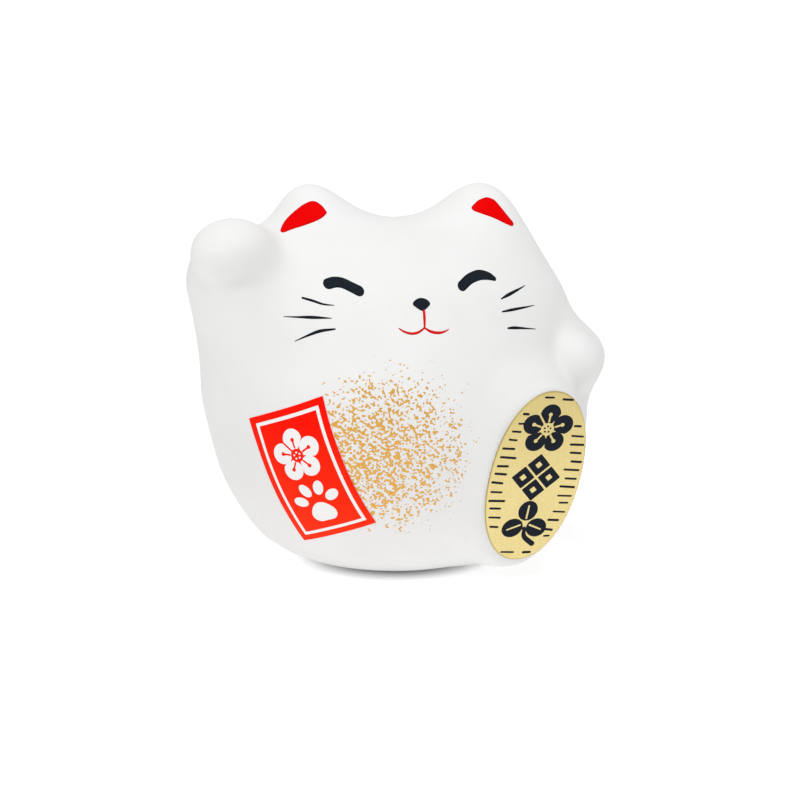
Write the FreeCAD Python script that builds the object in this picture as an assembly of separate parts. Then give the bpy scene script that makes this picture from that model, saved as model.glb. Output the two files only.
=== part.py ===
# Beckoning cat figurine: a small slip-cast, unglazed earthenware cat with its right paw raised.
# It carries hand-painted marks, a printed fortune label, gold stippling and an oval foil coin.
# Millimetres. The cat stands on z = 0 and looks along -Y, so its own left is +X.
#
# The body is one smooth blend of rounded masses, written as a formula: the signed gap from a
# point to the clay. The outer skin, the cavity and the paint films are level surfaces of that
# one formula, each sampled on rays from a point inside the cat.
import FreeCAD, Part
import math
import os

Vector = FreeCAD.Vector

# ---- masses of the casting: centre, radii; lean in degrees tips the mass about Y ----
BELLY = ((0.5, 0.0, 23.4), (29.2, 25.4, 28.0))
HEAD = ((0.0, 0.5, 38.8), (26.3, 19.5, 13.1))
HEAD_BLEND = 5.0
LEFT_EAR = ((13.5, 0.5, 48.6), (6.0, 5.4, 9.3), -4.0)
RIGHT_EAR = ((-12.7, 0.5, 49.8), (5.9, 5.4, 8.6), -8.0)
EAR_BLEND = 8.5
ARM_ROOT = (-19.0, -2.0, 20.0)
ARM_ROOT_RADIUS = 5.6
ARM_TOP = (-25.4, -4.2, 43.0)
ARM_TOP_RADIUS = 7.2
ARM_BLEND = 10.0
RAISED_PAW = ((-26.2, -9.8, 49.7), (5.7, 5.6, 4.6))
RAISED_PAW_BLEND = 2.6
RESTING_PAW = ((25.4, -6.5, 31.8), (5.8, 6.2, 5.0))
RESTING_PAW_BLEND = 5.0
TAIL = ((2.5, 21.9, 9.5), (4.2, 3.8, 5.8), -20.0)
TAIL_BLEND = 4.0

ASIDE = 0.76                       # the finished cat moves this far along X, to centre its width

# ---- hollow, foot and vent ----
CORE = (0.0, 0.0, 27.0)            # every point of every skin is seen from here
WALL = 3.0                         # slip-cast wall
FOOT_RECESS_RADIUS = 8.6           # shallow dish that leaves a foot ring
FOOT_RECESS_DEPTH = 0.8
VENT_RADIUS = 1.75                 # firing vent through the base

# ---- the coin: an oval seat on the cat's left, foil on the seat and ink on the foil ----
COIN_CENTRE = Vector(16.6, -21.2, 16.8)
COIN_OUT = Vector(0.345, -0.925, -0.172)
COIN_UP = Vector(0.185, -0.115, 0.976)
COIN_HALF_WIDTH = 8.55
COIN_HALF_HEIGHT = 13.35
SEAT_SHIFT = (-0.75, -0.2)         # the seat's middle, aside of and below the foil's
SEAT_HALF_WIDTH = 9.6
SEAT_HALF_HEIGHT = 14.45
SEAT_DEPTH = 10.0
SEAT_EDGE = 1.5                    # rounding of the seat's rim
POCKET_GAP = 0.35                  # bare clay around the foil, where the belly stands proud
MOUND_BORDER = 0.7
MOUND_DROP = 1.0                   # the clay around the seat swells to this far below its face
MOUND_EDGE = 2.6
MOUND_BLEND = 4.0
FOIL_THICKNESS = 0.15
COIN_INK = 0.08
DASH_PITCH = 1.33
DASH_HEIGHT = 0.32
DASH_REACH = 2.4
COIN_COLUMN = 4.1                  # half width kept for the crests
CREST_SIZE = 3.8
CREST_PITCH = 7.6

# ---- the label on the belly ----
LABEL_CENTRE = Vector(-17.16, -18.95, 18.15)
LABEL_OUT = Vector(-0.553, -0.804, -0.217)
LABEL_UP = Vector(-0.397, 0.025, 0.918)
LABEL_WIDTH = 12.9
LABEL_HEIGHT = 20.4
LABEL_MARGIN = 1.0                 # print outside the white line
LABEL_LINE = 0.5                   # the white line's width
LABEL_CREST = 3.7
LABEL_CREST_RISE = 4.2             # crests above and below the label's middle

# ---- films on the clay ----
PAINT = 0.12
PRINT = 0.08

# ---- painted marks, in the front view: across (to the cat's left), then up ----
EYE_WIDTH = 1.3
RIGHT_EYE = ((-13.2, 45.4), (-11.2, 45.9), (-9.0, 44.6))
LEFT_EYE = ((5.9, 44.8), (8.7, 46.4), (11.6, 45.5))
NOSE = ((-1.5, 43.3), (-0.3, 43.9), (0.8, 43.2), (0.3, 42.3), (-0.2, 42.0), (-0.8, 42.4))
LINE_WIDTH = 0.32
MOUTH_STROKES = (
    ((-0.2, 42.2), (-0.25, 41.0), (-0.3, 39.6)),
    ((-0.3, 39.8), (-2.0, 38.95), (-4.0, 39.75)),
    ((-0.3, 39.8), (1.4, 38.9), (3.2, 39.4)),
)
WHISKER_WIDTH = 0.45
RIGHT_WHISKERS = (
    ((-16.8, 43.5), (-14.9, 43.2), (-12.8, 42.6)),
    ((-19.7, 40.9), (-16.5, 41.0), (-13.2, 40.9)),
    ((-18.3, 37.5), (-15.8, 38.5), (-13.1, 39.4)),
)
LEFT_WHISKERS = (
    ((12.3, 42.9), (14.4, 43.4), (16.6, 44.1)),
    ((12.1, 41.1), (14.9, 41.3), (17.8, 41.3)),
    ((12.9, 38.9), (15.2, 38.4), (17.6, 38.0)),
)
RIGHT_EAR_RED = (
    ((-18.5, 52.0), (-16.3, 54.9), (-13.4, 56.2), (-11.5, 54.5)),
    ((-11.5, 54.5), (-14.9, 52.9), (-18.5, 52.0)),
)
LEFT_EAR_RED = (
    ((10.6, 54.6), (13.3, 56.1), (15.0, 55.2), (17.3, 52.0)),
    ((17.3, 52.0), (13.6, 53.3), (10.6, 54.6)),
)

# ---- gold stippling: flecks on a sunflower spiral ----
STIPPLE_CENTRE = (-4.8, 22.6)
STIPPLE_RADIUS = 11.4
FLECKS = 110
FLECK_RADIUS = 0.42
LABEL_SIDE_TOP = (-16.0, 30.0)     # the label's edge beside the stippling
LABEL_SIDE_FOOT = (-8.3, 11.3)

# ---- sampling of the skins ----
AZIMUTHS = 128
POLARS = 64
REACH = 60.0                       # a ray this long ends outside the cat


def ellipsoid_gap(p, centre, radii, lean=0.0):
    """Signed gap from p to an ellipsoid, near enough to a distance for blending."""
    x, y, z = (a - b for a, b in zip(p, centre))
    c = math.cos(math.radians(lean))
    s = math.sin(math.radians(lean))
    scaled = ((c * x - s * z) / radii[0], y / radii[1], (s * x + c * z) / radii[2])
    near = math.sqrt(sum(a * a for a in scaled))
    slope = math.sqrt(sum((a / r) ** 2 for a, r in zip(scaled, radii)))
    return near * (near - 1.0) / max(slope, 1e-9)


def rod_gap(p, start, start_radius, end, end_radius):
    """Signed gap from p to a tapered rod with round ends."""
    along = [b - a for a, b in zip(start, end)]
    off = [b - a for a, b in zip(start, p)]
    share = sum(a * b for a, b in zip(along, off)) / sum(a * a for a in along)
    share = min(1.0, max(0.0, share))
    rest = [o - share * a for o, a in zip(off, along)]
    radius = start_radius + (end_radius - start_radius) * share
    return math.sqrt(sum(a * a for a in rest)) - radius


def blended(a, b, width):
    """Smooth union of two gaps, rounding their crease over width."""
    h = min(1.0, max(0.0, 0.5 + 0.5 * (b - a) / width))
    return b + (a - b) * h - width * h * (1.0 - h)


def frame_of(centre, out, up):
    """Placement whose X is rightward, Y is up and Z is out of a face."""
    out = Vector(out).normalize()
    up = (up - out * up.dot(out)).normalize()
    return FreeCAD.Placement(centre, FreeCAD.Rotation(up.cross(out), up, out, "ZYX"))


COIN_FRAME = frame_of(COIN_CENTRE, COIN_OUT, COIN_UP)
LABEL_FRAME = frame_of(LABEL_CENTRE, LABEL_OUT, LABEL_UP)
FRONT_FRAME = frame_of(Vector(0, 0, 0), Vector(0, -1, 0), Vector(0, 0, 1))
COIN_FRAME_BACK = COIN_FRAME.inverse()
MOUND_HALF_WIDTH = SEAT_HALF_WIDTH + MOUND_BORDER
MOUND_HALF_HEIGHT = SEAT_HALF_HEIGHT + MOUND_BORDER


def mound_gap(p):
    """Signed gap from p to the soft oval swelling around the coin's seat."""
    q = COIN_FRAME_BACK.multVec(Vector(*p))
    x = (q.x - SEAT_SHIFT[0]) / MOUND_HALF_WIDTH
    y = (q.y - SEAT_SHIFT[1]) / MOUND_HALF_HEIGHT
    near = math.hypot(x, y)
    slope = math.hypot(x / MOUND_HALF_WIDTH, y / MOUND_HALF_HEIGHT)
    rim = near * (near - 1.0) / max(slope, 1e-9) + MOUND_EDGE
    face = abs(q.z + MOUND_DROP + SEAT_DEPTH / 2) - SEAT_DEPTH / 2 + MOUND_EDGE
    return min(max(rim, face), 0.0) + math.hypot(max(rim, 0.0), max(face, 0.0)) - MOUND_EDGE


def clay_gap(p):
    """Signed gap from p to the casting's outer skin, without the coin's flat seat."""
    gap = blended(ellipsoid_gap(p, *BELLY), ellipsoid_gap(p, *HEAD), HEAD_BLEND)
    gap = blended(gap, ellipsoid_gap(p, *LEFT_EAR), EAR_BLEND)
    gap = blended(gap, ellipsoid_gap(p, *RIGHT_EAR), EAR_BLEND)
    arm = rod_gap(p, ARM_ROOT, ARM_ROOT_RADIUS, ARM_TOP, ARM_TOP_RADIUS)
    gap = blended(gap, arm, ARM_BLEND)
    gap = blended(gap, ellipsoid_gap(p, *RAISED_PAW), RAISED_PAW_BLEND)
    gap = blended(gap, ellipsoid_gap(p, *RESTING_PAW), RESTING_PAW_BLEND)
    gap = blended(gap, mound_gap(p), MOUND_BLEND)
    return blended(gap, ellipsoid_gap(p, *TAIL), TAIL_BLEND)


def skin_point(direction, level):
    """Where the ray from the core along direction meets the surface of one level."""
    inside = 0.0
    outside = REACH
    for _ in range(26):
        middle = 0.5 * (inside + outside)
        p = [c + middle * d for c, d in zip(CORE, direction)]
        if clay_gap(p) < level:
            inside = middle
        else:
            outside = middle
    return Vector(*p)


def sharpened(points, closed):
    """Control points of a cubic B-spline that passes close through points."""
    n = len(points)
    span = range(n) if closed else range(1, n - 1)
    return [(points[i] * 8 - points[i - 1] - points[(i + 1) % n]) / 6 for i in span]


def skin(level):
    """The surface of one level: a cubic B-spline over azimuth and polar angle."""
    rings = []
    for j in range(-2, POLARS + 3):
        polar = math.pi * j / POLARS
        ring = []
        for i in range(AZIMUTHS):
            azimuth = 2 * math.pi * i / AZIMUTHS
            across = math.sin(polar)
            direction = (across * math.cos(azimuth), across * math.sin(azimuth), math.cos(polar))
            ring.append(skin_point(direction, level))
        rings.append(sharpened(ring, closed=True))
    columns = [sharpened(column, closed=False) for column in zip(*rings)]
    surface = Part.BSplineSurface()
    surface.buildFromPolesMultsKnots(
        columns, [1] * (AZIMUTHS + 1), [1] * (POLARS + 7),
        list(range(AZIMUTHS + 1)), list(range(-3, POLARS + 4)), True, False, 3, 3)
    surface.segment(0, AZIMUTHS, 0, POLARS)
    for row, down in ((1, 1), (surface.NbVPoles, -1)):
        pole = skin_point((0, 0, down), level)
        for i in range(1, surface.NbUPoles + 1):
            surface.setPole(i, row, pole)
    return surface


def filled(surface):
    """The solid inside a whole skin."""
    return Part.Solid(Part.Shell([surface.toShape()]))


def skin_cell(frame, x, y, low, high):
    """Sampling indices of the skin at a point of a frame, going outward from low to high."""
    for _ in range(20):
        middle = 0.5 * (low + high)
        p = frame.multVec(Vector(x, y, middle))
        if clay_gap(p) < 0:
            low = middle
        else:
            high = middle
    d = p - Vector(*CORE)
    azimuth = math.atan2(d.y, d.x) % (2 * math.pi)
    return azimuth * AZIMUTHS / (2 * math.pi), math.acos(d.z / d.Length) * POLARS / math.pi


def film_over(inner, outer, cells):
    """The solid between two skins over a block of sampling cells."""
    margin = 0.8
    across = [u for u, v in cells]
    down = [v for u, v in cells]
    block = (min(across) - margin, max(across) + margin, min(down) - margin, max(down) + margin)
    faces = []
    for surface in (inner, outer):
        patch = surface.copy()
        patch.segment(*block)
        faces.append(patch.toShape())
    sides = [Part.makeRuledSurface(a, b) for a, b in zip(faces[0].Edges, faces[1].Edges)]
    shell = Part.makeShell(faces + sides)
    shell.sewShape()
    return Part.Solid(shell)


def joined(shapes):
    """One shape from overlapping shapes, without the seams inside it."""
    return shapes[0].fuse(shapes[1:]).removeSplitter() if len(shapes) > 1 else shapes[0]


def curve_through(points, closed=False):
    """Smooth edge through points in a plane."""
    curve = Part.BSplineCurve()
    curve.interpolate([Vector(x, y, 0) for x, y in points], closed)
    return curve.toShape()


def bounded(*edges):
    """Flat face inside edges that follow each other."""
    return Part.Face(Part.Wire(edges))


def stroke(start, middle, end, width, tapered=False):
    """Flat face of one brush stroke, with round ends or with both ends tapered to a point."""
    steps = 6
    bend = [2 * m - (a + b) / 2 for a, m, b in zip(start, middle, end)]
    left = []
    right = []
    for i in range(steps + 1):
        t = i / steps
        x, y = (a * (1 - t) ** 2 + 2 * c * t * (1 - t) + b * t * t
                for a, c, b in zip(start, bend, end))
        dx, dy = (2 * (c - a) * (1 - t) + 2 * (b - c) * t for a, c, b in zip(start, bend, end))
        half = width / 2 / math.hypot(dx, dy)
        if tapered:
            half *= 4 * t * (1 - t)
        left.append((x - dy * half, y + dx * half))
        right.append((x + dy * half, y - dx * half))
    sides = curve_through(left), curve_through(right[::-1])
    if tapered:
        return bounded(*sides)
    caps = []
    for (x, y), a, b in ((end, left[-1], right[-1]), (start, right[0], left[0])):
        tip = (x - (b[1] - a[1]) / 2, y + (b[0] - a[0]) / 2)
        caps.append(Part.Arc(*(Vector(u, v, 0) for u, v in (a, tip, b))).toShape())
    return bounded(sides[0], caps[0], sides[1], caps[1])


def oval(x, y, half_width, half_height, turn=0.0):
    """Flat elliptical face; turn is in degrees."""
    high = half_height > half_width
    rim = Part.Ellipse(Vector(0, 0, 0), max(half_width, half_height), min(half_width, half_height))
    face = Part.Face(Part.Wire(rim.toShape()))
    face.rotate(Vector(0, 0, 0), Vector(0, 0, 1), turn + (90 if high else 0))
    face.translate(Vector(x, y, 0))
    return face


def disc(x, y, radius):
    """Flat round face."""
    rim = Part.Circle(Vector(x, y, 0), Vector(0, 0, 1), radius)
    return Part.Face(Part.Wire(rim.toShape()))


def rectangle(width, height):
    """Flat rectangular face centred on the origin."""
    return Part.makePlane(width, height, Vector(-width / 2, -height / 2, 0))


def around(reach, degrees):
    """A point at a reach from the origin, turned clockwise from straight up."""
    turn = math.radians(degrees)
    return reach * math.sin(turn), reach * math.cos(turn)


def blossom(size):
    """Five round petals about a small heart."""
    petals = [disc(*around(0.62 * size, 72 * k), 0.34 * size) for k in range(5)]
    return petals + [disc(0, 0, 0.17 * size)]


def paw_print(size):
    """Four toes over one broad pad."""
    toes = [oval(*around(0.75 * size, a), 0.22 * size, 0.29 * size, -a) for a in (-66, -22, 22, 66)]
    return toes + [oval(0, -0.34 * size, 0.54 * size, 0.43 * size)]


def lozenges(size):
    """Four lozenges set in a larger lozenge."""
    tiles = []
    for x, y in ((0, 0.52), (0, -0.52), (0.52, 0), (-0.52, 0)):
        tile = rectangle(0.62 * size, 0.62 * size)
        tile.rotate(Vector(0, 0, 0), Vector(0, 0, 1), 45)
        tile.translate(Vector(x * size, y * size, 0))
        tiles.append(tile)
    return tiles


def trefoil(size):
    """Three leaves about a short stem."""
    leaves = [oval(*around(0.52 * size, a), 0.32 * size, 0.4 * size, -a) for a in (-100, 0, 100)]
    return leaves + [stroke((0.0, -0.35 * size), (0.1, -0.6 * size), (0.5, -0.9 * size), 0.8)]


def risen(faces, frame, low, high):
    """Solids raised from flat faces in a frame, between two heights."""
    solids = []
    for face in faces:
        solid = face.copy()
        solid.translate(Vector(0, 0, low))
        solid = solid.extrude(Vector(0, 0, high - low))
        solid.Placement = frame.multiply(solid.Placement)
        solids.append(solid)
    return solids


def moved_up(faces, rise):
    """Faces shifted up in their own plane."""
    for face in faces:
        face.translate(Vector(0, rise, 0))
    return faces


def grouped(solids):
    """Separate solids in one shape, or the solid itself if there is only one."""
    return solids[0] if len(solids) == 1 else Part.makeCompound(solids)


def painted(faces, skins, frame=FRONT_FRAME, low=2.0, high=40.0):
    """The stretches of film between two skins that flat faces cover, seen along their frame."""
    solids = []
    for face in faces:
        box = face.BoundBox
        cells = []
        for i in range(5):
            for j in range(5):
                x = box.XMin + box.XLength * i / 4
                y = box.YMin + box.YLength * j / 4
                cells.append(skin_cell(frame, x, y, low, high))
        film = film_over(*skins, cells)
        solids += film.common(risen([face], frame, low, high)[0]).Solids
    return grouped(solids)


# ---- the casting ----
clay = skin(0.0)
seat_face = oval(*SEAT_SHIFT, SEAT_HALF_WIDTH, SEAT_HALF_HEIGHT)
seat = seat_face.extrude(Vector(0, 0, -SEAT_DEPTH))
top_edge = [e for e in seat.Edges if abs(e.BoundBox.ZMax) < 1e-6 and abs(e.BoundBox.ZMin) < 1e-6]
seat = seat.makeFillet(SEAT_EDGE, top_edge)
seat.Placement = COIN_FRAME.multiply(seat.Placement)
pocket = oval(0, 0, COIN_HALF_WIDTH + POCKET_GAP, COIN_HALF_HEIGHT + POCKET_GAP)
pocket = risen([pocket], COIN_FRAME, 0.0, SEAT_DEPTH)[0]
room = Part.makeBox(120, 120, 120, Vector(-60, -60, 0))
cavity = filled(skin(-WALL)).common(Part.makeBox(120, 120, 120, Vector(-60, -60, WALL)))
recess = Part.makeCone(FOOT_RECESS_RADIUS, FOOT_RECESS_RADIUS - FOOT_RECESS_DEPTH, FOOT_RECESS_DEPTH)
vent = Part.makeCylinder(VENT_RADIUS, 2 * WALL, Vector(0, 0, -1))
casting = filled(clay).fuse(seat).cut(pocket).common(room).cut(cavity).cut(recess).cut(vent)

# ---- paint on the clay ----
film_top = skin(PAINT)
layer = (clay, film_top)
print_layer = (film_top, skin(PAINT + PRINT))
mouth = joined([stroke(*points, LINE_WIDTH) for points in MOUTH_STROKES])
pieces = {
    "cat_casting": casting,
    "right_eye_line": painted([stroke(*RIGHT_EYE, EYE_WIDTH)], layer),
    "left_eye_line": painted([stroke(*LEFT_EYE, EYE_WIDTH)], layer),
    "nose_dab": painted([bounded(curve_through(NOSE, True))], layer),
    "mouth_line": painted([mouth], layer),
    "right_whiskers": painted([stroke(*w, WHISKER_WIDTH, True) for w in RIGHT_WHISKERS], layer),
    "left_whiskers": painted([stroke(*w, WHISKER_WIDTH, True) for w in LEFT_WHISKERS], layer),
    "right_ear_red": painted([bounded(*map(curve_through, RIGHT_EAR_RED))], layer),
    "left_ear_red": painted([bounded(*map(curve_through, LEFT_EAR_RED))], layer),
}

# ---- stippling: flecks clear of the label's edge ----
flecks = []
edge_slope = (LABEL_SIDE_FOOT[0] - LABEL_SIDE_TOP[0]) / (LABEL_SIDE_FOOT[1] - LABEL_SIDE_TOP[1])
for i in range(FLECKS):
    reach = STIPPLE_RADIUS * math.sqrt((i + 0.5) / FLECKS)
    turn = math.radians(137.508 * i)
    x = STIPPLE_CENTRE[0] + reach * math.cos(turn)
    z = STIPPLE_CENTRE[1] + reach * math.sin(turn)
    label_edge = LABEL_SIDE_TOP[0] + edge_slope * (z - LABEL_SIDE_TOP[1])
    if x > label_edge + 2 * FLECK_RADIUS:
        flecks.append(disc(x, z, FLECK_RADIUS * (1.1 - 0.4 * reach / STIPPLE_RADIUS)))
pieces["belly_stippling"] = painted(flecks, layer)

# ---- the label: white film, and a red print that leaves a line and two crests bare ----
film = rectangle(LABEL_WIDTH, LABEL_HEIGHT)
inset = 2 * LABEL_MARGIN
line_outside = rectangle(LABEL_WIDTH - inset, LABEL_HEIGHT - inset)
inset += 2 * LABEL_LINE
line_inside = rectangle(LABEL_WIDTH - inset, LABEL_HEIGHT - inset)
crests = moved_up(blossom(LABEL_CREST), LABEL_CREST_RISE)
crests += moved_up(paw_print(LABEL_CREST), -LABEL_CREST_RISE)
print_faces = [film.cut(line_outside), line_inside.cut(crests)]
print_faces = [face for shape in print_faces for face in shape.Faces]
pieces["label_film"] = painted([film], layer, LABEL_FRAME, -7.0, 5.0)
pieces["label_print"] = painted(print_faces, print_layer, LABEL_FRAME, -7.0, 5.0)

# ---- the coin: foil, then ink dashes down both sides and three crests between them ----
foil = oval(0, 0, COIN_HALF_WIDTH, COIN_HALF_HEIGHT)
ink = moved_up(blossom(CREST_SIZE), CREST_PITCH)
ink += lozenges(CREST_SIZE)
ink += moved_up(trefoil(CREST_SIZE), -CREST_PITCH)
rows = int((COIN_HALF_HEIGHT - 2.2) / DASH_PITCH)
for row in range(-rows, rows + 1):
    y = row * DASH_PITCH
    edge = COIN_HALF_WIDTH * math.sqrt(1 - (y / COIN_HALF_HEIGHT) ** 2) - 0.8
    near = max(COIN_COLUMN, edge - DASH_REACH)
    if edge - near > 0.8:
        for side in (-1, 1):
            dash = rectangle(edge - near, DASH_HEIGHT)
            dash.translate(Vector(side * (edge + near) / 2, y, 0))
            ink.append(dash)
pieces["coin_foil"] = grouped(risen([foil], COIN_FRAME, 0.0, FOIL_THICKNESS))
pieces["coin_print"] = grouped(risen(ink, COIN_FRAME, FOIL_THICKNESS, FOIL_THICKNESS + COIN_INK))

os.makedirs("parts", exist_ok=True)
for name, shape in pieces.items():
    shape.translate(Vector(ASIDE, 0, 0))
    shape.exportStep(os.path.join("parts", name + ".step"))
    print(name, len(shape.Solids), "solids", round(shape.Volume, 2), "mm3", shape.isValid())
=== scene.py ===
"""Beckoning cat figurine: its looks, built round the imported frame.

Shapes are worked out in millimetres about the cat's upright axis and become metres when a mesh is
made. The cat stands on z = 0 and looks along -Y, so its own left is +X.

The clay is one smooth blend of rounded masses, written as a signed gap from a point to its skin.
Paint, label and foil are thin closed films, each laid over the part of the skin that a flat outline
covers when it is seen straight on.
"""

import math

import bpy
import numpy as np
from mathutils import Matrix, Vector


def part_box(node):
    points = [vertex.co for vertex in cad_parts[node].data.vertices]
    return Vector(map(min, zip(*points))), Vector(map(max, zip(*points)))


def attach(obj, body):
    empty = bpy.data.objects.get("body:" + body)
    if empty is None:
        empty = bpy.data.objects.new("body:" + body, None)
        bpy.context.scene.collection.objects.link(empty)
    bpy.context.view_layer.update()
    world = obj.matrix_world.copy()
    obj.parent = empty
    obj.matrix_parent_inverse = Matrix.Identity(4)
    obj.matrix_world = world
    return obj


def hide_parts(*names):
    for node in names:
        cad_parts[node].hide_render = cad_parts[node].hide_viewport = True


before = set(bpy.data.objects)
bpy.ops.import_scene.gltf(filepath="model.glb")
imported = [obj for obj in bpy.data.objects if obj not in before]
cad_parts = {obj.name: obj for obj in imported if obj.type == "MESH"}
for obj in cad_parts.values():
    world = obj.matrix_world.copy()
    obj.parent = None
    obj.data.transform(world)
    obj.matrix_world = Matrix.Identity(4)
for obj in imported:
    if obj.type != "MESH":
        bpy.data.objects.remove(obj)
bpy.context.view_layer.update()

MM = 0.001
BODY = "root"
SEED = 11

# The raised paw reaches further out than the resting one, and the tail further back than the face,
# so the body's upright axis stands a little aside of the middle of the casting's box.
AXIS_ASIDE = (0.76, -0.165)
casting_low, casting_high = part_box("cat_casting")
AXIS = np.array((
    (casting_low.x + casting_high.x) / 2 / MM + AXIS_ASIDE[0],
    (casting_low.y + casting_high.y) / 2 / MM + AXIS_ASIDE[1],
    casting_low.z / MM,
))


def middle(node):
    """Middle of a CAD node's box, in millimetres about the cat's axis."""
    low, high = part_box(node)
    return np.array((low + high) / 2) / MM - AXIS


# ---- masses of the casting: centre, radii; lean in degrees tips the mass about Y ----
BELLY = ((0.5, 0.0, 23.4), (29.2, 25.4, 28.0))
HEAD = ((0.0, 0.5, 38.8), (26.3, 19.5, 13.1))
HEAD_BLEND = 5.0
LEFT_EAR = ((13.5, 0.5, 48.6), (6.0, 5.4, 9.3), -4.0)
RIGHT_EAR = ((-12.7, 0.5, 49.8), (5.9, 5.4, 8.6), -8.0)
EAR_BLEND = 8.5
ARM_ROOT = (-20.9, -2.0, 30.4)
ARM_ROOT_RADIUS = 7.4
ARM_TOP = (-25.6, -5.4, 45.0)
ARM_TOP_RADIUS = 7.1
ARM_BLEND = 8.6
RAISED_PAW = ((-26.5, -9.2, 50.4), (5.8, 5.6, 4.3))
RAISED_PAW_BLEND = 2.8
CURLED_TOES = ((-28.3, -10.8, 49.0), (4.0, 3.2, 2.5))
CURLED_TOES_BLEND = 1.8
LEFT_ARM = ((25.0, -6.9, 31.9), (6.1, 6.0, 5.0))
LEFT_ARM_BLEND = 4.5
RESTING_PAW = ((24.4, -12.1, 32.2), (4.6, 5.4, 4.7))
RESTING_PAW_BLEND = 1.2
START_BLEND = 6.0                  # softer joins at the paws, for the first guess at the skin
TAIL = ((2.5, 21.9, 9.5), (4.2, 3.8, 5.8), -20.0)
TAIL_BLEND = 3.0

# ---- the coin's seat: a rounded oval slab let into the belly ----
COIN_OUT = (0.345, -0.925, -0.172)
COIN_UP = (0.185, -0.115, 0.976)
FOIL_THICKNESS = 0.15
COIN_HALF = (8.55, 13.35)
COIN_SQUARENESS = 2.12             # 2 is an ellipse; a little more has fuller shoulders
SEAT_HALF = (9.6, 14.45)
SEAT_SHIFT = (-0.75, -0.5)
SEAT_DEPTH = 10.0
SEAT_EDGE = 1.5
SEAT_BLEND = 1.0
POCKET_HALF = (8.9, 13.7)
MOUND_HALF = (10.2, 15.3)
MOUND_DROP = 1.0
MOUND_EDGE = 2.6
MOUND_BLEND = 4.0

# ---- foot, wall and vent ----
CORE = np.array((0.0, 0.0, 27.0))  # the skin is sampled on rays from here
SKIN_FROM = 5.0                    # the outer skin is further out than this all round
CAVITY_FROM = 1.0                  # and the cavity's than this
REACH = 60.0                       # neither is further out than this
WALL = 3.0
FLOOR_EDGE = 0.8                   # rounding where the belly meets the underside
FOOT_FLAT = 7.6                    # the underside is flat to here, then rises as a shallow bowl
FOOT_RISE = 0.033
FOOT_OVALNESS = 1.15               # the underside is this much wider than deep
FOOT_RING = 6.6                    # inner radius of the face that the cat stands on
CAVITY_EDGE = 1.5

# ---- hand finish: shallow unevenness left by fettling and sponging ----
UNEVEN_DEPTH = 0.035
UNEVEN_WAVES = 9
UNEVEN_LENGTHS = (7.0, 13.0)


# ==================================== gaps in space

def rotated(x, z, degrees):
    """Two coordinates turned in their plane."""
    c = math.cos(math.radians(degrees))
    s = math.sin(math.radians(degrees))
    return c * x - s * z, s * x + c * z


def ellipsoid_gap(p, centre, radii, lean=0.0):
    """Signed gap from points to an ellipsoid, near enough to a distance for blending."""
    q = p - np.array(centre)
    x, z = rotated(q[:, 0], q[:, 2], lean)
    scaled = np.stack((x, q[:, 1], z), axis=1) / np.array(radii)
    near = np.linalg.norm(scaled, axis=1)
    slope = np.linalg.norm(scaled / np.array(radii), axis=1)
    return near * (near - 1.0) / np.maximum(slope, 1e-9)


def rod_gap(p, start, start_radius, end, end_radius):
    """Signed gap from points to a tapered rod with round ends."""
    along = np.subtract(end, start)
    off = p - np.array(start)
    share = np.clip(off @ along / (along @ along), 0.0, 1.0)
    rest = off - share[:, None] * along
    return np.linalg.norm(rest, axis=1) - (start_radius + (end_radius - start_radius) * share)


def blended(a, b, width):
    """Smooth union of two gaps, rounding their crease over width."""
    h = np.clip(0.5 + 0.5 * (b - a) / width, 0.0, 1.0)
    return b + (a - b) * h - width * h * (1.0 - h)


def rounded_both(a, b, edge):
    """Gap to what lies inside both gaps, with the edge between them rounded."""
    outside = np.hypot(np.maximum(a + edge, 0.0), np.maximum(b + edge, 0.0))
    return np.minimum(np.maximum(a + edge, b + edge), 0.0) + outside - edge


def oval_gap(x, y, half):
    """Signed gap from points of a plane to an ellipse about the origin."""
    near = np.hypot(x / half[0], y / half[1])
    slope = np.hypot(x / half[0] ** 2, y / half[1] ** 2)
    return near * (near - 1.0) / np.maximum(slope, 1e-9)


def coin_gap(x, y, half):
    """Signed gap to the coin's outline, an oval with slightly full shoulders."""
    n = COIN_SQUARENESS
    near = (np.abs(x / half[0]) ** n + np.abs(y / half[1]) ** n) ** (1 / n)
    slope = np.hypot(x / half[0] ** 2, y / half[1] ** 2)
    return np.hypot(x / half[0], y / half[1]) * (near - 1.0) / np.maximum(slope, 1e-9)


class Face:
    """A flat frame on the cat: X is rightward, Y is up and Z is out of the face."""

    def __init__(self, centre, out, up):
        out = np.array(out) / np.linalg.norm(out)
        up = np.array(up) - out * np.dot(up, out)
        up /= np.linalg.norm(up)
        self.centre = np.array(centre)
        self.axes = np.stack((np.cross(up, out), up, out))

    def inward(self, p):
        """Points of space, in the face's own coordinates."""
        return (p - self.centre) @ self.axes.T

    def outward(self, x, y, z):
        """Points of the face's coordinates, in space."""
        return self.centre + np.stack((x, y, z), axis=-1) @ self.axes


FRONT = Face((0, 0, 0), (0, -1, 0), (0, 0, 1))
COIN = Face(middle("coin_foil"), COIN_OUT, COIN_UP)
COIN.centre = COIN.centre - COIN.axes[2] * FOIL_THICKNESS / 2


def slab_gap(q, half, drop, edge):
    """Gap to an oval slab whose face lies drop below the coin's plane."""
    rim = coin_gap(q[:, 0] - SEAT_SHIFT[0], q[:, 1] - SEAT_SHIFT[1], half)
    face = np.abs(q[:, 2] + drop + SEAT_DEPTH / 2) - SEAT_DEPTH / 2
    return rounded_both(rim, face, edge)


def waves(rng, count, lengths, axes):
    """Wave vectors and phases of a random field with the given range of wavelengths."""
    heading = rng.normal(size=(count, axes))
    heading /= np.linalg.norm(heading, axis=1)[:, None]
    vectors = heading * (2 * np.pi / rng.uniform(*lengths, size=(count, 1)))
    return vectors, rng.uniform(0, 2 * np.pi, count)


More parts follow.
